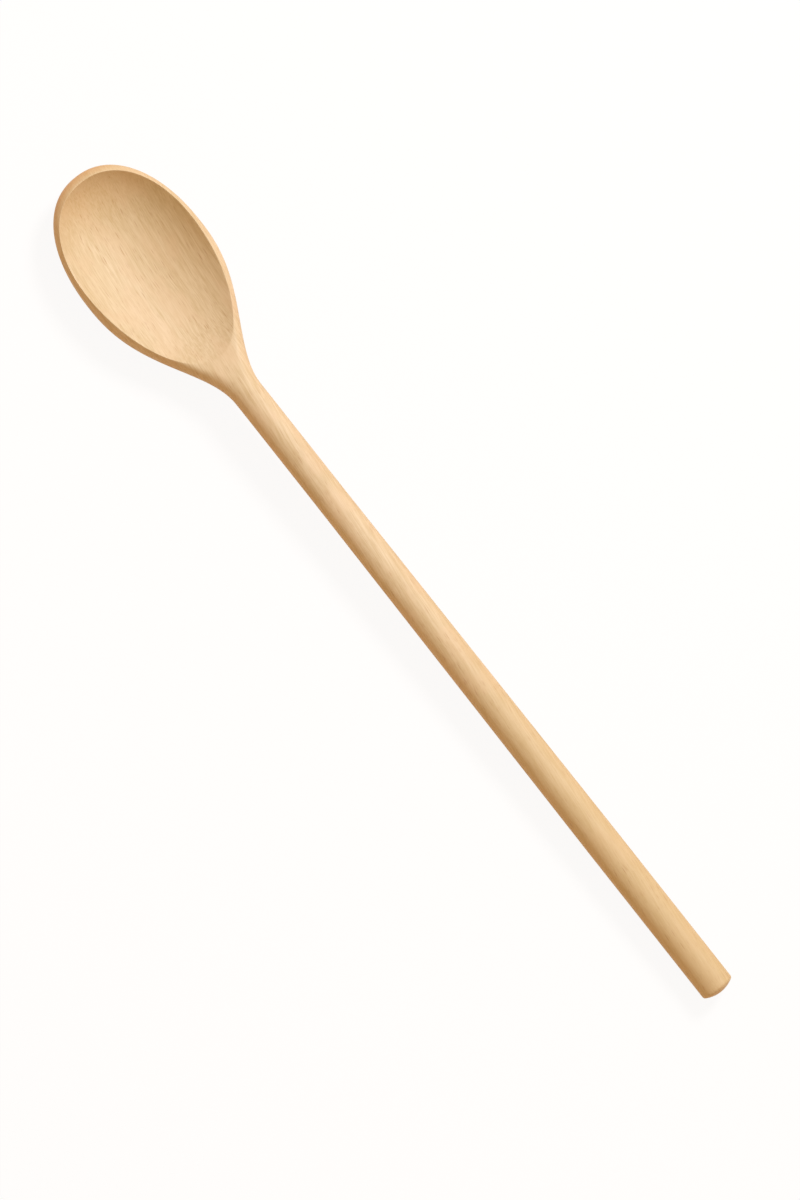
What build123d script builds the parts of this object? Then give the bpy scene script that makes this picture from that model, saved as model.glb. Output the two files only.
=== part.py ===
from build123d import *
from math import atan, cos, degrees, hypot, pi, radians, sin, sqrt
import os

# Cooking spoon, turned and hollowed from one piece of beech.
# It is drawn on its turning axis: x runs from the tip of the bowl to the butt of the
# handle, y runs across the bowl, and z is up, towards the bowl's open side.
# At the end it is laid down as it rests on a table, on its belly and its butt.
# All lengths are in millimetres.

# Whole spoon
spoon_length = 350.0

# Handle, round and a little thicker towards the butt
neck_diameter = 10.9
butt_diameter = 12.0
grip_length = 63.2  # of the even butt end, up to the dome
taper_length = 145.0  # from the grip back towards the neck
butt_dome_rise = 1.8
butt_edge_radius = 0.9

# Bowl, an egg in plan, measured on its outside
bowl_half_width = 23.95
bowl_front = 37.5  # from the tip to the widest place
bowl_rear = 56.0  # from the widest place to the neck
bowl_rise = 12.5  # of the uncut oval above its widest line
belly_depth = 10.4  # of the oval below its widest line
tip_roundness = 2.18  # exponent of the front, also the hollow's, where 2 is an ellipse
shoulder_power = 2.3  # how long the bowl stays wide behind its widest place
neck_power = 2.1  # how softly it runs into the neck

# Neck, which lifts the handle over the bowl
neck_lift = 4.8  # of the handle's axis above the bowl's widest line
lift_start = 65.0  # from the tip
lift_end = 99.0

# Flat across the neck, level at the hollow's end and then rising to the handle's top
flat_over_rim = 0.4  # height of its level part above the rim at the bowl's sides
flat_before = 3.5  # from where it turns up to the hollow's end
flat_length = 13.8  # from where it turns up to where it meets the handle's top
flat_bend_radius = 12.0

# Hollow, cut by a round tool that swings about a tilted axis over the bowl
tip_rim = 3.0  # from the spoon's tip to the hollow
side_rim = 1.75  # beside the hollow at the widest place
hollow_front_share = 0.92  # its widest place, as a share of the bowl's
hollow_rear_share = 0.7714  # from there to its neck end, as a share of the bowl's rear
hollow_depth_share = 0.4955  # at its widest place, square to the tool's axis, of its half width
hollow_roundness = 1.9  # exponent of the rear of the egg, where 2 is an ellipse
tool_tilt = 16.0  # degrees, of the axis up towards the neck
tool_overrun_share = 0.3  # past both ends of the hollow, of the distance of the last two points

# Numbers of sections and points that carry the curves
front_sections = 12
rear_sections = 16
floor_steps = 12

neck_radius = neck_diameter / 2
butt_radius = butt_diameter / 2
handle_start = max(bowl_front + bowl_rear, lift_end)
dome_edge = spoon_length - butt_dome_rise
taper_end = dome_edge - grip_length
taper_start = taper_end - taper_length
hollow_half_width = bowl_half_width - side_rim
hollow_depth = hollow_half_width * hollow_depth_share
hollow_widest = bowl_front * hollow_front_share
hollow_front = hollow_widest - tip_rim
hollow_rear = bowl_rear * hollow_rear_share
hollow_end = hollow_widest + hollow_rear
flat_bend = hollow_end - flat_before
flat_end = flat_bend + flat_length


def smooth_step(share):
    """Soft step from 0 to 1, level at both ends."""
    share = min(max(share, 0), 1)
    return share**2 * (3 - 2 * share)


def reach(x, bowl_size):
    """Section radius at x in a direction in which the bowl itself reaches bowl_size."""
    if x <= bowl_front:
        ahead = 1 - x / bowl_front
        return bowl_size * (1 - ahead**tip_roundness) ** (1 / tip_roundness)
    behind = min((x - bowl_front) / bowl_rear, 1)
    swell = (1 - behind**shoulder_power) ** neck_power
    return neck_radius + (bowl_size - neck_radius) * swell


def widest_line(x):
    """Height of the section's widest line, from the bowl up to the handle's axis."""
    return -neck_lift * (1 - smooth_step((x - lift_start) / (lift_end - lift_start)))


def arch_height(x, y):
    """Height of the body's round top at x, y."""
    return widest_line(x) + reach(x, bowl_rise) * sqrt(1 - (y / reach(x, bowl_half_width)) ** 2)


def rim_line(x):
    """Half width of the hollow's plan outline at x."""
    if x <= hollow_widest:
        away, power = (hollow_widest - x) / hollow_front, tip_roundness
    else:
        away, power = (x - hollow_widest) / hollow_rear, hollow_roundness
    return hollow_half_width * (1 - min(away, 1) ** power) ** (1 / power)


def side_height(x):
    """Height of the body's round top at the rim."""
    return arch_height(x, rim_line(x))


flat_level = flat_over_rim + max(side_height(bowl_front), side_height((bowl_front + lift_start) / 2))
flat_slope = (arch_height(flat_end, 0) - flat_level) / flat_length


def body_top(x, y):
    """Height of the body at x, y once the neck is cut flat."""
    return min(arch_height(x, y), flat_level + flat_slope * max(x - flat_bend, 0))


# Where the hollow is widest, the tool's circle meets the rim and has its set depth.
along, upward = cos(radians(tool_tilt)), sin(radians(tool_tilt))
tool_lift = (hollow_half_width**2 - hollow_depth**2) / (2 * hollow_depth)
tool_x = hollow_widest - tool_lift * upward
tool_z = body_top(hollow_widest, hollow_half_width) + tool_lift * along


def foot(x, z):
    """Point of the tool's axis beside x, z in side view."""
    place = (x - tool_x) * along + (z - tool_z) * upward
    return tool_x + place * along, tool_z + place * upward


def floor_point(x):
    """Lowest point of the circle about the tool's axis that passes through the rim at x."""
    y = rim_line(x)
    z = body_top(x, y)
    foot_x, foot_z = foot(x, z)
    radius = hypot(x - foot_x, y, z - foot_z)
    return foot_x + radius * upward, foot_z - radius * along


def beyond(last, before):
    """Point a little past the last one, on its line from the one before."""
    return tuple(a + tool_overrun_share * (a - b) for a, b in zip(last, before))


# Sections lie closer together towards the tip, where the outline turns round.
stations = [bowl_front * (1 - cos(pi / 2 * n / front_sections)) for n in range(1, front_sections)]
rear_pitch = (handle_start - bowl_front) / rear_sections
stations += [bowl_front + rear_pitch * n for n in range(rear_sections + 1)]

with BuildPart() as spoon:
    # Bowl and neck: sections of two half ellipses, one above the widest line and one below
    for station in stations:
        section_plane = Plane((station, 0, widest_line(station)), x_dir=(0, 1, 0), z_dir=(1, 0, 0))
        half_width = reach(station, bowl_half_width)
        with BuildSketch(section_plane):
            with BuildLine():
                EllipticalCenterArc((0, 0), half_width, reach(station, bowl_rise), 0, arc_size=180)
                EllipticalCenterArc((0, 0), half_width, reach(station, belly_depth), 180, arc_size=180)
            make_face()
    sections = list(spoon.pending_faces)
    spoon.pending_faces.clear()
    loft(sections=[Vertex(0, 0, widest_line(0)), *sections])

    # Handle: turned about the axis, with a tapered middle and a domed butt
    with BuildSketch(Plane.XZ):
        with BuildLine():
            dome_radius = (butt_radius**2 + butt_dome_rise**2) / (2 * butt_dome_rise)
            Polyline(
                (handle_start, 0),
                (handle_start, neck_radius),
                (taper_start, neck_radius),
                (taper_end, butt_radius),
                (dome_edge, butt_radius),
            )
            RadiusArc((dome_edge, butt_radius), (spoon_length, 0), dome_radius)
            Line((spoon_length, 0), (handle_start, 0))
        make_face()
    revolve(axis=Axis.X)
    butt_edge = spoon.edges().filter_by(GeomType.CIRCLE).filter_by_position(
        Axis.X, dome_edge, dome_edge
    )
    fillet(butt_edge, radius=butt_edge_radius)

    # Flat: everything above one bent line in side view
    with BuildSketch(Plane.XZ):
        with BuildLine():
            flat_top = flat_level + flat_slope * (handle_start - flat_bend)
            FilletPolyline(
                (bowl_front, flat_level),
                (flat_bend, flat_level),
                (handle_start, flat_top),
                radius=flat_bend_radius,
            )
            Polyline(
                (handle_start, flat_top),
                (handle_start, flat_top + bowl_rise),
                (bowl_front, flat_top + bowl_rise),
                (bowl_front, flat_level),
            )
        make_face()
    extrude(amount=bowl_half_width, both=True, mode=Mode.SUBTRACT)

    # Hollow: the tool's outline turned about its own axis above the bowl
    with BuildSketch(Plane.XZ):
        with BuildLine():
            tool_middle = (tip_rim + hollow_end) / 2
            tool_half = (hollow_end - tip_rim) / 2
            turns = [pi * n / floor_steps for n in range(floor_steps + 1)]
            floor = [floor_point(tool_middle - tool_half * cos(turn)) for turn in turns]
            floor = [beyond(floor[0], floor[1]), *floor, beyond(floor[-1], floor[-2])]
            Spline(*floor)
            Polyline(floor[-1], foot(*floor[-1]), foot(*floor[0]), floor[0])
        make_face()
    revolve(axis=Axis((tool_x, 0, tool_z), (along, 0, upward)), mode=Mode.SUBTRACT)

# The spoon lies on its belly and on the lower edge of its butt.
rest_slope = max(
    (reach(x, belly_depth) - widest_line(x) - butt_radius) / (dome_edge - x) for x in stations
)
lying = spoon.part.moved(Location((0, 0, 0), (0, degrees(atan(rest_slope)), 0)))
footprint = lying.bounding_box()
lying = lying.moved(Location((-footprint.center().X, 0, -footprint.min.Z)))

os.makedirs("parts", exist_ok=True)
lying.label = "spoon"
export_step(lying, "parts/spoon.step")
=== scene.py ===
"""Looks of a one-piece beech cooking spoon that lies on a plain white table."""

import bpy
import numpy as np
from bpy.props import FloatProperty, FloatVectorProperty, IntProperty, PointerProperty
from mathutils import Matrix, Vector


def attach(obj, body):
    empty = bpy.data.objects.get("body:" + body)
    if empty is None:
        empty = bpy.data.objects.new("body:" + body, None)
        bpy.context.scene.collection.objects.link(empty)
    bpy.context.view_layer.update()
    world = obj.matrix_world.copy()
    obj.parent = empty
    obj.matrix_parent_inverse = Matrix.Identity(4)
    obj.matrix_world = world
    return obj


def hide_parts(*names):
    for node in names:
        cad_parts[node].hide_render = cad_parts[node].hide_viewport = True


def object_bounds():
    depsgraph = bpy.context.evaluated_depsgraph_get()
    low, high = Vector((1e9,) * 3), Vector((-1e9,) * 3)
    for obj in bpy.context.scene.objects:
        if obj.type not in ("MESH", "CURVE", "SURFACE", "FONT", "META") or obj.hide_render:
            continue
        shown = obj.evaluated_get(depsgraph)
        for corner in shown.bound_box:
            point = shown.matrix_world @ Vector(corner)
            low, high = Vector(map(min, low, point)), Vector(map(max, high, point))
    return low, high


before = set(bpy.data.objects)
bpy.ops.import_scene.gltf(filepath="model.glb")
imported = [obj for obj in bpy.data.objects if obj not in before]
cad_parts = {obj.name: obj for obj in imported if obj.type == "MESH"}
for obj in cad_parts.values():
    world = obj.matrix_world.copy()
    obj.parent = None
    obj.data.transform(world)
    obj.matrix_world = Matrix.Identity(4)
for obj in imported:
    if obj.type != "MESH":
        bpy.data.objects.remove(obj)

bl_info = {
    "name": "Beech cooking spoon",
    "version": (1, 0, 0),
    "blender": (4, 5, 0),
    "location": "View3D > Sidebar > Spoon",
    "description": "Makes a turned and hollowed beech spoon with its table, lights and camera",
    "category": "Add Mesh",
}

CAD_LOW, CAD_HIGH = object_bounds()
NODE = "spoon"

# How finely the surface is worked out
LENGTH_SAMPLES = 40001  # places at which the density of the rings is summed
RIM_SAMPLES = 3000  # places of the rim that shape the hollow's tool
BELLY_SAMPLES = 2000  # places at which the belly is tried on the table
HALVINGS = 30  # of the span that holds the hollow's floor
END_RINGS, END_BAND = 3500, 0.0012  # rings a metre added at the hollow's ends, fading over metres
TIP_RINGS, TIP_BAND = 120, 0.01  # the same at both tips, but over the root of the distance
TIP_START = 1e-5  # metres added to that distance, so that the root isn't zero
LEAST_RIM_SHARE, RIM_SHARE_SOFTNESS = 0.35, 0.02  # of the width, where no hollow is cut
BAND_CROWDING, HOLLOW_CROWDING = 1.25, 1.35  # powers that crowd the faces towards the rim
PAST_FRONT, PAST_REAR = 0.0025, 0.0035  # metres beyond the hollow, where its tool cuts nothing
LEAST_WIDTH = 1e-9  # metres, so that nothing is divided by zero

# Painted shade and end grain, by how far the surface faces along the spoon: where each begins and is
# full
HOLLOW_FACING = (0.15, 0.75)
TIP_FACING = (0.45, 0.95)

DEPTH_SHARE = 0.3  # of a pattern's change across the fibres that it has in depth
SWAY_SCALE = (22, 60, 60)  # changes of the fibres' sway in a metre

# Where in its noise a pattern begins and is full
FIBRES_SHOW = (0.32, 0.68)
STRANDS_SHOW = (0.3, 0.7)
CLOUDS_SHOW = (0.35, 0.65)
BLUSH_SHOWS = (0.45, 0.65)
RINGS_SHOW = (0.35, 0.7)
DASHES_CROWD = (0.35, 0.65)

LATE_WOOD = (0.35, 1.0)  # where in a ring it begins and is full
DASH_EDGE = (0.48, 0.10)  # from a dash's middle to where it begins and is full
DASH_KINDS = ((1.0, 0.45, 0.5), (1.6, 0.78, 0.72))  # size, rarity and strength
FEWEST_DASHES = 0.35  # their strength between the groups
SENSOR_WIDTH = 36  # millimetres
WHITE = (1, 1, 1, 1)


def length(name, description, default):
    """A length in metres, shown with its unit."""
    return FloatProperty(
        name=name, description=description, default=default, unit="LENGTH", precision=5
    )


def plain(name, description, default):
    """A number without a unit."""
    return FloatProperty(name=name, description=description, default=default, precision=3)


def angle(name, description, degrees):
    """An angle, written in degrees and kept in radians."""
    default = np.radians(degrees)
    return FloatProperty(name=name, description=description, default=default, unit="ROTATION")


def pair(name, description, default):
    """Two lengths in metres."""
    return FloatVectorProperty(
        name=name, description=description, default=default, size=2, unit="LENGTH", precision=5
    )


def colour(name, description, default):
    """A linear colour."""
    return FloatVectorProperty(
        name=name, description=description, default=default, subtype="COLOR", size=3, min=0, max=1
    )


class SpoonSizes(bpy.types.PropertyGroup):
    """Sizes of the spoon in its turning frame, where x runs from the bowl's tip to the butt."""

    spoon_length: length("Length", "From the bowl's tip to the butt", CAD_HIGH.x - CAD_LOW.x)
    neck_radius: length("Neck radius", "Of the handle at its thin end", 0.00545)
    butt_radius: length("Butt radius", "Of the handle at its thick end", 0.006)
    taper_start: length("Taper start", "From the tip to where the handle begins to thicken", 0.140)
    taper_end: length("Taper end", "From the tip to where it has its full thickness", 0.285)
    dome_rise: length("Dome rise", "Height of the butt's dome", 0.0018)
    edge_radius: length("Edge radius", "Rounding between the handle and the dome", 0.0009)
    bowl_half_width: length("Bowl half width", "At the bowl's widest place", CAD_HIGH.y)
    bowl_front: length("Bowl front", "From the tip to the widest place", 0.0375)
    bowl_rear: length("Bowl rear", "From the widest place to the neck", 0.056)
    bowl_rise: length("Bowl rise", "Of the uncut oval above its widest line", 0.0125)
    belly_depth: length("Belly depth", "Of the oval below its widest line", 0.0104)
    tip_roundness: plain("Tip roundness", "Exponent of the front, 2 is an ellipse", 2.18)
    shoulder_power: plain("Shoulder power", "How long the bowl stays wide", 2.3)
    neck_power: plain("Neck power", "How softly the bowl runs into the neck", 2.1)
    neck_lift: length("Neck lift", "Of the handle's axis above the widest line", 0.0048)
    lift_start: length("Lift start", "From the tip to where the line rises", 0.065)
    lift_end: length("Lift end", "From the tip to where it meets the axis", 0.099)
    flat_level: length("Flat level", "Height over the axis of the neck's level cut", 0.000816)
    flat_bend: length("Flat bend", "From the tip to where the cut turns up", 0.0742)
    flat_end: length("Flat end", "From the tip to where the cut leaves the handle's top", 0.088)
    flat_run_out: length("Flat run-out", "Past the flat's end, where the handle is round", 0.004)
    flat_softness: length("Flat softness", "Rounding of the flat's edges", 0.0003)
    bend_softness: length("Bend softness", "Rounding of the cut where it turns up", 0.0004)
    tip_rim: length("Tip rim", "From the tip to the hollow", 0.003)
    side_rim: length("Side rim", "Beside the hollow at its widest place", 0.00175)
    hollow_widest: length("Hollow's widest", "From the tip to the hollow's widest place", 0.0345)
    hollow_end: length("Hollow's end", "From the tip to the hollow's end at the neck", 0.0777)
    hollow_roundness: plain("Hollow roundness", "Exponent of the hollow's rear, 2 is an ellipse", 1.9)
    hollow_depth: length("Hollow depth", "Below the rim at the widest place, square to the axis", 0.011)
    tool_tilt: angle("Tool tilt", "Of the hollow's axis, up towards the neck", 16)
    tool_overrun: length("Tool overrun", "Of the hollow's tool past both ends", 0.004)
    rim_softness: length("Rim softness", "How far the sanded rim falls short of a sharp edge", 0.00007)
    belly_steps: IntProperty(name="Belly steps", description="Faces round the underside", default=64)
    band_steps: IntProperty(name="Band steps", description="Faces from the side to the rim", default=22)
    hollow_steps: IntProperty(name="Hollow steps", description="Faces from rim to middle", default=36)
    bowl_pitch: length("Bowl pitch", "Distance of the rings along the bowl", 0.0006)
    handle_pitch: length("Handle pitch", "Distance of the rings along the handle", 0.006)
    pitch_change: length("Pitch change", "Behind the bowl, from its pitch to the handle's", 0.012)


class BeechColours(bpy.types.PropertyGroup):
    """Colours and grain of oiled beech."""

    pale: colour("Pale wood", "Early wood between the rings", (0.72, 0.625, 0.475))
    warm: colour("Warm wood", "Late wood and fibres", (0.545, 0.435, 0.26))
    blush: colour("Blush", "Faint pinkish clouds", (0.69, 0.55, 0.395))
    golden: colour("Golden", "What the wood turns to at both ends", (0.56, 0.43, 0.20))
    golden_share: plain("Golden share", "How far it turns", 0.45)
    palest_place: length("Palest place", "Along the spoon from its middle", -0.065)
    golden_span: pair("Golden span", "From there to where the turn begins and ends", (0.02, 0.20))
    dash: colour("Dash", "Short dark pores and rays", (0.40, 0.235, 0.11))
    # Also paints the shade at the bowl's tip
    end_grain_and_shade: colour("End grain and shade", "Where the fibres are cut across", (0.60, 0.345, 0.13))
    front_wall_grain_and_shade_share: plain("End grain and shade in the hollow", "At its front wall", 0.25)
    outer_tip_grain_and_shade_share: plain("End grain and shade outside", "At the bowl's tip", 0.55)
    grain_slope: angle("Grain slope", "Of the fibres to the spoon's length", 6)
    sway: length("Sway", "How far the fibres wander", 0.004)
    pith: pair("Pith", "The tree's middle, to the side of the spoon and below it", (0.110, 0.035))
    ring_pitch: length("Ring pitch", "Distance of the growth rings", 0.0026)
    ring_breaks: pair("Ring breaks", "Length and width of the parts that show rings", (0.05, 0.006))
    ring_share: plain("Ring share", "How far rings turn pale wood warm", 0.12)
    fibres: pair("Fibres", "Length and width of fine fibres", (0.012, 0.0004))
    fibre_share: plain("Fibre share", "How far they turn pale wood warm", 0.61)
    strands: pair("Strands", "Length and width of coarse fibres", (0.03, 0.0016))
    strand_share: plain("Strand share", "How far they turn pale wood warm", 0.19)
    clouds: pair("Clouds", "Length and width of warm clouds", (0.022, 0.009))
    cloud_share: plain("Cloud share", "How far they turn pale wood warm", 0.14)
    blush_clouds: pair("Blush clouds", "Length and width of pinkish clouds", (0.013, 0.007))
    blush_share: plain("Blush share", "How pinkish they are", 0.4)
    dash_length: length("Dash length", "Along the fibres", 0.0034)
    dash_width: length("Dash width", "Across the fibres", 0.00030)
    dash_groups: pair("Dash groups", "Length and width of areas with more dashes", (0.015, 0.008))
    relief: length("Relief", "Depth that a share of 1 stands for", 0.00006)
    relief_strength: plain("Relief strength", "How far it tilts the light", 0.35)
    fibre_height: plain("Fibre height", "Share of the relief", 0.6)
    dash_depth: plain("Dash depth", "Share of the relief", 1.2)
    roughness: plain("Roughness", "Of the sanded wood", 0.6)
    roughness_change: plain("Roughness change", "From the smoothest to the roughest fibres", 0.16)
    gloss: plain("Gloss", "Specular level of the oiled wood", 0.6)
    sheen: plain("Sheen", "Soft light at grazing angles", 0.2)
    sheen_roughness: plain("Sheen roughness", "How wide that light spreads", 0.35)


class StageLook(bpy.types.PropertyGroup):
    """Table, lights and camera."""

    floor_reach: length("Floor reach", "Half the side of the table", 3.0)
    floor_colour: colour("Floor", "Colour of the table in the picture", (0.95, 0.95, 0.95))
    bounce_colour: colour("Bounce", "Colour of the table as it lights the spoon", (0.86, 0.56, 0.28))
    floor_glow: plain("Floor glow", "Share of the table's look that is plain white", 0.92)
    key_power: plain("Key power", "Watts of the lamp over the spoon's far side", 17.6)
    key_size: length("Key size", "Side of the lamp", 0.36)
    key_distance: length("Key distance", "From the spoon to the lamp", 1.5)
    key_turn: angle("Key turn", "Of the lamp from the picture's top towards its right", 34)
    key_height: angle("Key height", "Of the lamp above the table", 49)
    fill_colour: colour("Fill colour", "Colour of the light from all round", (1.0, 0.62, 0.28))
    fill_strength: plain("Fill strength", "Of the light from all round", 0.61)
    camera_distance: length("Camera distance", "From the table to the camera", 1.6)
    camera_lean: angle("Camera lean", "Of the camera over the spoon's near side", 5)
    picture_turn: angle("Picture turn", "From the spoon's length to the picture's right", 51.432481)
    picture_height: length("Picture height", "On the table, from the picture's foot to its top", 0.4043)
    picture_middle: FloatVectorProperty(
        name="Picture middle", description="Where the camera looks", subtype="TRANSLATION",
        default=(0.00419, -0.00274, 0.008), size=3, precision=5,
    )


# From here on, s stands for the spoon's sizes, c for the beech's colours and n for nodes.


def smooth_step(value, low, high):
    """Cubic step: 0 below low, 1 above high, and between them three times the square of
    the share less twice its cube."""
    share = np.clip((value - low) / (high - low), 0, 1)
    return share**2 * (3 - 2 * share)


def soft_lower(first, second, softness):
    """Lower of two heights with a rounded change: the mean less half of
    the root of their difference squared and four times the softness squared."""
    return (first + second - np.sqrt((first - second) ** 2 + 4 * softness**2)) / 2


def soft_upper(first, second, softness):
    """Greater of two numbers with a rounded change."""
    return -soft_lower(-first, -second, softness)


def reach(x, bowl_size, s):
    """Section radius at x in a direction in which the bowl reaches bowl_size: a
    superellipse up to the widest place, then a power curve down to the handle's radius,
    which grows evenly along the taper."""
    ahead = np.clip(1 - x / s.bowl_front, 0, 1)
    front = bowl_size * (1 - ahead**s.tip_roundness) ** (1 / s.tip_roundness)
    behind = np.clip((x - s.bowl_front) / s.bowl_rear, 0, 1)
    swell = (1 - behind**s.shoulder_power) ** s.neck_power
    taper = np.clip((x - s.taper_start) / (s.taper_end - s.taper_start), 0, 1)
    handle = np.minimum(s.neck_radius + (s.butt_radius - s.neck_radius) * taper, butt_end(x, s))
    return np.where(x < s.bowl_front, front, handle + (bowl_size - handle) * swell)


def butt_end(x, s):
    """Radius of the butt at x: the handle's, then an edge arc, then a shallow dome whose
    radius follows from its rise and the handle's radius."""
    dome = (s.butt_radius**2 + s.dome_rise**2) / (2 * s.dome_rise)
    centre = s.spoon_length - dome
    edge_level = s.butt_radius - s.edge_radius
    edge_x = centre + np.sqrt((dome - s.edge_radius) ** 2 - edge_level**2)
    meet = centre + (edge_x - centre) * dome / (dome - s.edge_radius)
    edge = edge_level + np.sqrt(np.clip(s.edge_radius**2 - np.clip(x - edge_x, 0, None) ** 2, 0, None))
    cap = np.sqrt(np.clip(dome**2 - (x - centre) ** 2, 0, None))
    return np.where(x < edge_x, s.butt_radius, np.where(x < meet, edge, cap))


def widest_line(x, s):
    """Height of a section's widest line: below the axis at the bowl, with a soft step up."""
    return -s.neck_lift * (1 - smooth_step(x, s.lift_start, s.lift_end))


def body_top(x, y, s):
    """Height of the uncut body: half an ellipse above the widest line, cut flat across
    the neck along a level line that turns up to the handle's top."""
    share = np.clip(np.abs(y) / np.maximum(reach(x, s.bowl_half_width, s), LEAST_WIDTH), 0, 1)
    arch = widest_line(x, s) + reach(x, s.bowl_rise, s) * np.sqrt(1 - share**2)
    top = widest_line(s.flat_end, s) + reach(s.flat_end, s.bowl_rise, s)
    slope = (top - s.flat_level) / (s.flat_end - s.flat_bend)
    cut = soft_upper(s.flat_level, s.flat_level + (x - s.flat_bend) * slope, s.bend_softness)
    past = x > s.flat_end + s.flat_run_out
    return np.where(past, arch, soft_lower(arch, cut, s.flat_softness))


def rim_squared(x, s):
    """Square of the hollow's half width, from two superellipses that meet at its widest
    place and go on below zero past the hollow's ends."""
    ahead = (s.hollow_widest - x) / (s.hollow_widest - s.tip_rim)
    behind = (x - s.hollow_widest) / (s.hollow_end - s.hollow_widest)
    power = np.where(x < s.hollow_widest, s.tip_roundness, s.hollow_roundness)
    left = 1 - np.where(x < s.hollow_widest, ahead, behind) ** power
    return (s.bowl_half_width - s.side_rim) ** 2 * np.sign(left) * np.abs(left) ** (2 / power)


def hollow_floor(x, y, s):
    """Height of the hollow, a surface turned about an axis above the bowl that rises
    towards the neck. Its radius at each place along the axis is the distance of the rim
    there. The height is found by halving the span between the axis and far below."""
    half = s.bowl_half_width - s.side_rim
    lift = (half**2 - s.hollow_depth**2) / (2 * s.hollow_depth)
    cos, sin = np.cos(s.tool_tilt), np.sin(s.tool_tilt)
    axis_x = s.hollow_widest - lift * sin
    axis_z = body_top(np.float64(s.hollow_widest), half, s) + lift * cos
    rim_x = np.linspace(s.tip_rim - s.tool_overrun, s.hollow_end + s.tool_overrun, RIM_SAMPLES)
    squared = rim_squared(rim_x, s)
    rim_z = body_top(np.clip(rim_x, s.tip_rim, s.hollow_end), np.sqrt(np.clip(squared, 0, None)), s)
    places = (rim_x - axis_x) * cos + (rim_z - axis_z) * sin
    reaches = squared + ((axis_z - rim_z) * cos + (rim_x - axis_x) * sin) ** 2
    high = np.broadcast_to(axis_z + (x - axis_x) * sin / cos, np.broadcast(x, y).shape)
    low = high - s.bowl_half_width * 2
    for _ in range(HALVINGS):
        z = (low + high) / 2
        place = (x - axis_x) * cos + (z - axis_z) * sin
        below = (x - axis_x) * sin - (z - axis_z) * cos
        inside = y**2 + below**2 < np.interp(place, places, reaches)
        low, high = np.where(inside, low, z), np.where(inside, z, high)
    return high


def ring_places(s):
    """Places of the rings along x: evenly spread by a density that is high along the
    bowl, higher at the hollow's two ends, and grows like one over a root at both tips."""
    x = np.linspace(0, s.spoon_length, LENGTH_SAMPLES)
    neck = s.bowl_front + s.bowl_rear
    density = 1 / s.handle_pitch + (1 - smooth_step(x, neck, neck + s.pitch_change)) / s.bowl_pitch
    for end in (s.tip_rim, s.hollow_end):
        density += END_RINGS * np.exp(-(((x - end) / END_BAND) ** 2))
    for left in (x, s.spoon_length - x):
        density += TIP_RINGS * np.exp(-left / TIP_BAND) / np.sqrt(left + TIP_START)
    total = np.concatenate(([0], np.cumsum((density[1:] + density[:-1]) / 2 * np.diff(x))))
    shares = np.linspace(0, total[-1], int(total[-1]) + 1)
    return np.interp(shares, total, x)[1:-1]


def section_rings(x, s):
    """Points of the sections at x, one row each, once round from the right side over the
    top: the band up to the rim by the arch's angle, the hollow by steps that tighten at
    the rim, and the underside by the angle of a half ellipse."""
    x = x[:, None]
    width = reach(x, s.bowl_half_width, s)
    rim = np.sqrt(np.clip(rim_squared(x, s), 0, None)) / width
    rim = soft_upper(rim, LEAST_RIM_SHARE, RIM_SHARE_SOFTNESS)
    rim_angle = np.arccos(rim)
    band = 1 - (1 - np.arange(s.band_steps) / s.band_steps) ** BAND_CROWDING
    side = np.cos(rim_angle * band)
    inside = (np.arange(s.hollow_steps) / s.hollow_steps) ** HOLLOW_CROWDING
    half = np.hstack((side, rim * (1 - inside)))
    across = np.hstack((half, np.zeros_like(x), -half[:, ::-1])) * width
    top = soft_lower(body_top(x, across, s), hollow_floor(x, across, s), s.rim_softness)
    away = (x < s.tip_rim - PAST_FRONT) | (x > s.hollow_end + PAST_REAR)
    top = np.where(away, body_top(x, across, s), top)
    top[:, 0] = top[:, -1] = widest_line(x, s)[:, 0]
    turn = np.pi + np.pi * np.arange(1, s.belly_steps) / s.belly_steps
    under = widest_line(x, s) + reach(x, s.belly_depth, s) * np.sin(turn)
    y = np.hstack((across, width * np.cos(turn)))
    z = np.hstack((top, under))
    return np.repeat(x, y.shape[1], 1), y, z


def lay_down(points, s):
    """Turns the points about y so that belly and butt touch the table, by the steepest
    line from the butt's lower edge to the belly, and puts them into the CAD box."""
    x = np.linspace(0, s.bowl_front + s.bowl_rear, BELLY_SAMPLES)
    edge = s.spoon_length - s.dome_rise
    low = reach(x, s.belly_depth, s) - widest_line(x, s)
    turn = np.arctan(np.max((low - s.butt_radius) / (edge - x)))
    cos, sin = np.cos(turn), np.sin(turn)
    laid = points @ np.array(((cos, 0, -sin), (0, 1, 0), (sin, 0, cos)))
    laid[:, 0] += CAD_LOW.x - laid[:, 0].min()
    laid[:, 2] -= laid[:, 2].min()
    return laid


def closed_skin(rings, around):
    """Faces of a tube of rings whose two ends are closed by fans to a first and a last
    point. Ring points run anticlockwise seen from the butt."""
    i = np.arange(rings - 1)[:, None] * around
    j = np.arange(around)[None]
    k = (j + 1) % around
    quads = np.stack((i + j, i + k, i + around + k, i + around + j), -1).reshape(-1, 4)
    tip, butt = rings * around, rings * around + 1
    first = np.stack((np.full(around, tip), k[0], j[0]), -1)
    final = (rings - 1) * around
    last = np.stack((np.full(around, butt), j[0] + final, k[0] + final), -1)
    return quads, np.vstack((first, last))


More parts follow.
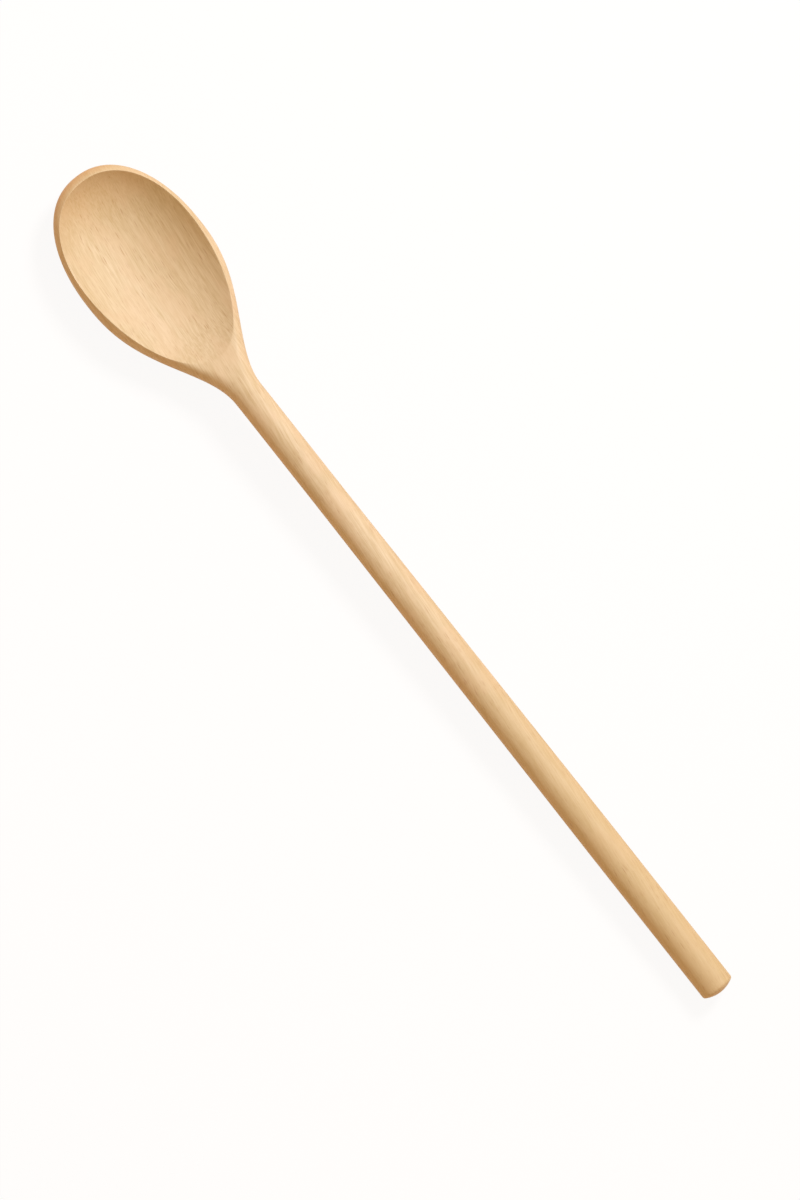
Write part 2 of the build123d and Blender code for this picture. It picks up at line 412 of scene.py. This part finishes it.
def make_mesh(name, points, quads, triangles):
    """A smooth mesh from arrays of points and of four- and three-sided faces."""
    mesh = bpy.data.meshes.new(name)
    corners = np.concatenate((quads.ravel(), triangles.ravel())).astype(np.int32)
    starts = np.concatenate((np.arange(len(quads)) * 4, quads.size + np.arange(len(triangles)) * 3))
    mesh.vertices.add(len(points))
    mesh.vertices.foreach_set("co", points.astype(np.float32).ravel())
    mesh.loops.add(len(corners))
    mesh.loops.foreach_set("vertex_index", corners)
    mesh.polygons.add(len(starts))
    mesh.polygons.foreach_set("loop_start", starts.astype(np.int32))
    mesh.update(calc_edges=True)
    mesh.validate()
    mesh.polygons.foreach_set("use_smooth", np.ones(len(mesh.polygons), dtype=bool))
    return mesh


def opaque(rgb):
    """A colour with full alpha."""
    return (*rgb, 1)


class Nodes:
    """Adds nodes to the emptied tree of a material or of the surroundings."""

    def __init__(self, tree):
        self.tree = tree
        tree.nodes.clear()

    def add(self, kind, inputs=(), **settings):
        """A node of a kind with its settings. An input is a value or a socket to link."""
        node = self.tree.nodes.new("ShaderNode" + kind)
        for key, value in settings.items():
            setattr(node, key, value)
        for key, value in dict(inputs).items():
            if isinstance(value, bpy.types.NodeSocket):
                self.tree.links.new(value, node.inputs[key])
            else:
                node.inputs[key].default_value = value
        return node

    def maths(self, operation, first, second=0.0, clamp=False):
        """Result of an operation on two numbers, or on the first alone."""
        inputs = {0: first, 1: second}
        return self.add("Math", inputs, operation=operation, use_clamp=clamp).outputs[0]

    def vectors(self, operation, first, second):
        """Result of an operation on two vectors."""
        return self.add("VectorMath", {0: first, 1: second}, operation=operation).outputs[0]

    def mapped(self, value, low, high, new_low=0.0, new_high=1.0):
        """A value taken from one range to another, with soft ends."""
        inputs = {0: value, 1: low, 2: high, 3: new_low, 4: new_high}
        return self.add("MapRange", inputs, interpolation_type="SMOOTHSTEP").outputs[0]

    def stretched(self, place, size, shift=0.0):
        """Place divided by a length along the fibres and a width across them, and by
        more in depth, so that a pattern stays long where the surface dips along them."""
        along, across = size
        scale = (1 / along, 1 / across, DEPTH_SHARE / across)
        inputs = {"Vector": place, "Scale": scale, "Location": (shift, shift, shift)}
        return self.add("Mapping", inputs).outputs[0]

    def stretched_noise(self, place, size, detail=2.0, roughness=0.5):
        """Noise with features of a length along the fibres and a width across them."""
        place = self.stretched(place, size)
        inputs = {"Vector": place, "Scale": 1.0, "Detail": detail, "Roughness": roughness}
        return self.add("TexNoise", inputs).outputs[0]

    def mixed(self, share, first, second):
        """Colour that goes from the first to the second as the share goes from 0 to 1."""
        return self.add("Mix", {0: share, 6: first, 7: second}, data_type="RGBA").outputs[2]

    def seen(self):
        """1 for rays that show a thing itself: straight, in a gloss or through glass."""
        path = self.add("LightPath").outputs
        seen = self.maths("MAXIMUM", path["Is Camera Ray"], path["Is Glossy Ray"])
        return self.maths("MAXIMUM", seen, path["Is Transmission Ray"])


def wandering_grain(n, place, c):
    """Place turned so that x follows the fibres, which lie aslant and sway a little: a
    noise less its mean, times the sway, is added before the turn."""
    wide = n.add("Mapping", {"Vector": place, "Scale": SWAY_SCALE}).outputs[0]
    noise = n.add("TexNoise", {"Vector": wide, "Scale": 1.0, "Detail": 3.0}).outputs["Color"]
    noise = n.vectors("SUBTRACT", noise, (0.5, 0.5, 0.5))
    swayed = n.vectors("ADD", place, n.vectors("MULTIPLY", noise, (0, c.sway, c.sway)))
    turned = {"Vector": swayed, "Rotation": (0, c.grain_slope / 2, c.grain_slope)}
    return n.add("Mapping", turned).outputs[0]


def growth_rings(n, grain, c):
    """Dark late wood of the rings: the distance from the pith over the pitch, without its
    whole part, with a soft rise, shown in some parts only."""
    inputs = {"Vector": grain, "Location": (0, *c.pith), "Scale": (0, 1, 1)}
    across = n.add("Mapping", inputs).outputs[0]
    far = n.add("VectorMath", {0: across}, operation="LENGTH").outputs["Value"]
    ring = n.maths("FRACT", n.maths("DIVIDE", far, c.ring_pitch))
    shown = n.mapped(n.stretched_noise(grain, c.ring_breaks), *RINGS_SHOW)
    return n.maths("MULTIPLY", n.mapped(ring, *LATE_WOOD), shown)


def dark_dashes(n, place, grain, c):
    """Short dashes at the points of two cell patterns, many faint ones and a few larger
    and darker ones, thinned out by a broad noise."""
    dashes = 0.0
    for size, rarity, strength in DASH_KINDS:
        cell = (c.dash_length * size, c.dash_width * size)
        inputs = {"Vector": n.stretched(grain, cell, shift=size), "Scale": 1.0, "Randomness": 1.0}
        spots = n.add("TexVoronoi", inputs)
        near = n.mapped(spots.outputs["Distance"], *DASH_EDGE)
        chosen = n.add("SeparateColor", {0: spots.outputs["Color"]}).outputs[0]
        chosen = n.maths("MULTIPLY", n.mapped(chosen, rarity, 1.0), strength)
        dashes = n.maths("MAXIMUM", dashes, n.maths("MULTIPLY", near, chosen))
    groups = n.stretched_noise(place, c.dash_groups)
    return n.maths("MULTIPLY", dashes, n.mapped(groups, *DASHES_CROWD, FEWEST_DASHES, 1.0))


def beech(c):
    """Beech whose fibres run a little aslant along x. Fibres, clouds and rings turn pale
    wood warm by the sum of their shares. Pinkish clouds, a golden change towards both
    ends, dark dashes and, at the bowl's tip, end grain with painted shade follow."""
    material = bpy.data.materials.new("beech")
    material.use_nodes = True
    n = Nodes(material.node_tree)
    place = n.add("TexCoord").outputs["Object"]
    grain = wandering_grain(n, place, c)

    # Fine and coarse fibres, clouds and rings add up to how warm the wood is
    fine = n.stretched_noise(grain, c.fibres, detail=3.0, roughness=0.65)
    coarse = n.stretched_noise(grain, c.strands, detail=3.0, roughness=0.6)
    cloud = n.stretched_noise(place, c.clouds, detail=3.0)
    share = 0.0
    for pattern, most in (
        (n.mapped(fine, *FIBRES_SHOW), c.fibre_share),
        (n.mapped(coarse, *STRANDS_SHOW), c.strand_share),
        (n.mapped(cloud, *CLOUDS_SHOW), c.cloud_share),
        (growth_rings(n, grain, c), c.ring_share),
    ):
        share = n.maths("ADD", share, n.maths("MULTIPLY", pattern, most), clamp=True)
    wood = n.mixed(share, opaque(c.pale), opaque(c.warm))
    pink = n.mapped(n.stretched_noise(place, c.blush_clouds), *BLUSH_SHOWS)
    wood = n.mixed(n.maths("MULTIPLY", pink, c.blush_share), wood, opaque(c.blush))

    # More golden towards the tip and the butt than round the neck
    lengthwise = n.add("SeparateXYZ", {0: place}).outputs[0]
    away = n.maths("ABSOLUTE", n.maths("SUBTRACT", lengthwise, c.palest_place))
    wood = n.mixed(n.mapped(away, *c.golden_span, 0.0, c.golden_share), wood, opaque(c.golden))

    dashes = dark_dashes(n, place, grain, c)
    wood = n.mixed(dashes, wood, opaque(c.dash))

    # Darker where end grain drinks more oil, and painted shade on the bowl's tip, inside and out
    ends = n.add("Attribute", attribute_name="end_grain_and_shade").outputs["Fac"]
    wood = n.mixed(ends, wood, opaque(c.end_grain_and_shade))

    # Fine fibres stand out, dashes are sunk, and coarse fibres change the roughness
    raised = n.maths("MULTIPLY", fine, c.fibre_height)
    height = n.maths("SUBTRACT", raised, n.maths("MULTIPLY", dashes, c.dash_depth))
    bump = {"Height": height, "Distance": c.relief, "Strength": c.relief_strength}
    smoothest = c.roughness - c.roughness_change / 2
    shader = {
        "Base Color": wood,
        "Roughness": n.maths("ADD", n.maths("MULTIPLY", coarse, c.roughness_change), smoothest),
        "Normal": n.add("Bump", bump).outputs[0],
        "Specular IOR Level": c.gloss,
        "Sheen Weight": c.sheen,
        "Sheen Roughness": c.sheen_roughness,
    }
    shader = n.add("BsdfPrincipled", shader)
    n.add("OutputMaterial", {"Surface": shader.outputs[0]})
    return material


def end_fibres_and_shade_shares(x, facing, s, c):
    """Share of end grain and painted shade before the bowl's widest place, by how far the
    surface faces the butt, as the hollow's front wall does, or the tip, as the outside does.
    The darker colour there stands partly for the wood and partly for shade."""
    hollow = c.front_wall_grain_and_shade_share * smooth_step(facing, *HOLLOW_FACING)
    tip = c.outer_tip_grain_and_shade_share * smooth_step(-facing, *TIP_FACING)
    return np.where(x < s.bowl_front, hollow + tip, 0)


class SPOON_OT_make_spoon(bpy.types.Operator):
    """Make the spoon: egg-shaped bowl, flattened neck, tapered handle and domed butt"""

    bl_idname = "spoon.make_spoon"
    bl_label = "Spoon"

    def execute(self, context):
        s, c = context.scene.spoon_sizes, context.scene.beech_colours
        x, y, z = section_rings(ring_places(s), s)
        rings, around = x.shape
        tip_and_butt = np.array(((0, 0, widest_line(0, s)), (s.spoon_length, 0, 0)))
        points = np.vstack((np.stack((x, y, z), -1).reshape(-1, 3), tip_and_butt))
        mesh = make_mesh("spoon_body", lay_down(points, s), *closed_skin(rings, around))
        normals = np.empty(len(mesh.vertices) * 3, dtype=np.float32)
        mesh.vertex_normals.foreach_get("vector", normals)
        # Darker colour at the bowl's tip: end grain and painted shade
        ends = end_fibres_and_shade_shares(points[:, 0], normals.reshape(-1, 3)[:, 0], s, c)
        mesh.attributes.new("end_grain_and_shade", "FLOAT", "POINT").data.foreach_set("value", ends)
        mesh.materials.append(beech(c))
        spoon = bpy.data.objects.new("spoon_body", mesh)
        context.collection.objects.link(spoon)
        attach(spoon, "root")
        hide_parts(NODE)
        return {"FINISHED"}


class SPOON_OT_make_stage(bpy.types.Operator):
    """Make the white table, the lamp, the light from all round and the camera"""

    bl_idname = "spoon.make_stage"
    bl_label = "Stage"

    def execute(self, context):
        look = context.scene.stage_look
        cos, sin = np.cos(look.picture_turn), np.sin(look.picture_turn)
        right, up = Vector((cos, sin, 0)), Vector((-sin, cos, 0))
        self.make_floor(context, look)
        self.make_lamp(context, look, right, up)
        self.make_surroundings(context, look)
        self.make_camera(context, look, up)
        context.scene.view_settings.view_transform = "Standard"
        return {"FINISHED"}

    def make_floor(self, context, look):
        """White with a faint shadow of the spoon where it is seen, and otherwise of the
        warm colour that it sends back to the spoon."""
        r = look.floor_reach
        mesh = bpy.data.meshes.new("table")
        mesh.from_pydata([(-r, -r, 0), (r, -r, 0), (r, r, 0), (-r, r, 0)], [], [(0, 1, 2, 3)])
        material = bpy.data.materials.new("white_table")
        material.use_nodes = True
        n = Nodes(material.node_tree)
        matte = n.add("BsdfDiffuse", {"Color": opaque(look.floor_colour)}).outputs[0]
        bounce = n.add("BsdfDiffuse", {"Color": opaque(look.bounce_colour)}).outputs[0]
        glow = n.add("Emission", {"Color": WHITE, "Strength": 1.0}).outputs[0]
        white = n.add("MixShader", {0: look.floor_glow, 1: matte, 2: glow}).outputs[0]
        both = n.add("MixShader", {0: n.seen(), 1: bounce, 2: white}).outputs[0]
        n.add("OutputMaterial", {"Surface": both})
        mesh.materials.append(material)
        floor = bpy.data.objects.new("table", mesh)
        context.collection.objects.link(floor)

    def make_lamp(self, context, look, right, up):
        """One soft lamp beyond the spoon's far side, turned towards the middle."""
        level = up * np.cos(look.key_turn) + right * np.sin(look.key_turn)
        towards = level * np.cos(look.key_height) + Vector((0, 0, np.sin(look.key_height)))
        data = bpy.data.lights.new("key", "AREA")
        data.energy, data.size = look.key_power, look.key_size
        lamp = bpy.data.objects.new("key", data)
        context.collection.objects.link(lamp)
        lamp.location = towards * look.key_distance
        lamp.rotation_euler = towards.to_track_quat("Z", "Y").to_euler()

    def make_surroundings(self, context, look):
        """Even warm light from all round that is white where it is seen."""
        world = bpy.data.worlds.new("surroundings")
        world.use_nodes = True
        n = Nodes(world.node_tree)
        dim = {"Color": opaque(look.fill_colour), "Strength": look.fill_strength}
        fill = n.add("Background", dim).outputs[0]
        white = n.add("Background", {"Color": WHITE, "Strength": 1.0}).outputs[0]
        both = n.add("MixShader", {0: n.seen(), 1: fill, 2: white}).outputs[0]
        n.add("OutputWorld", {"Surface": both})
        context.scene.world = world

    def make_camera(self, context, look, up):
        """Long lens from above, leaning a little over the spoon's near side."""
        lean = look.camera_lean
        back = Vector((0, -np.sin(lean), np.cos(lean)))
        top = (up - back * up.dot(back)).normalized()
        side = top.cross(back).normalized()
        data = bpy.data.cameras.new("camera")
        data.sensor_width = SENSOR_WIDTH
        data.lens = SENSOR_WIDTH * look.camera_distance / look.picture_height
        camera = bpy.data.objects.new("camera", data)
        context.collection.objects.link(camera)
        turned = Matrix((side, top, back)).transposed().to_4x4()
        away = back * look.camera_distance
        camera.matrix_world = Matrix.Translation(look.picture_middle + away) @ turned
        context.scene.camera = camera


class SPOON_PT_sidebar(bpy.types.Panel):
    """Lists the spoon's operators"""

    bl_idname = "SPOON_PT_sidebar"
    bl_label = "Beech cooking spoon"
    bl_space_type = "VIEW_3D"
    bl_region_type = "UI"
    bl_category = "Spoon"

    def draw(self, context):
        for operator in OPERATORS:
            self.layout.operator(operator.bl_idname)


OPERATORS = (SPOON_OT_make_spoon, SPOON_OT_make_stage)
CLASSES = (SpoonSizes, BeechColours, StageLook, *OPERATORS, SPOON_PT_sidebar)
SETTINGS = {"spoon_sizes": SpoonSizes, "beech_colours": BeechColours, "stage_look": StageLook}


def register():
    for each in CLASSES:
        bpy.utils.register_class(each)
    for name, group in SETTINGS.items():
        setattr(bpy.types.Scene, name, PointerProperty(type=group))


def unregister():
    for name in SETTINGS:
        delattr(bpy.types.Scene, name)
    for each in reversed(CLASSES):
        bpy.utils.unregister_class(each)


def main():
    register()
    bpy.ops.spoon.make_spoon()
    bpy.ops.spoon.make_stage()


if __name__ == "__main__":
    main()
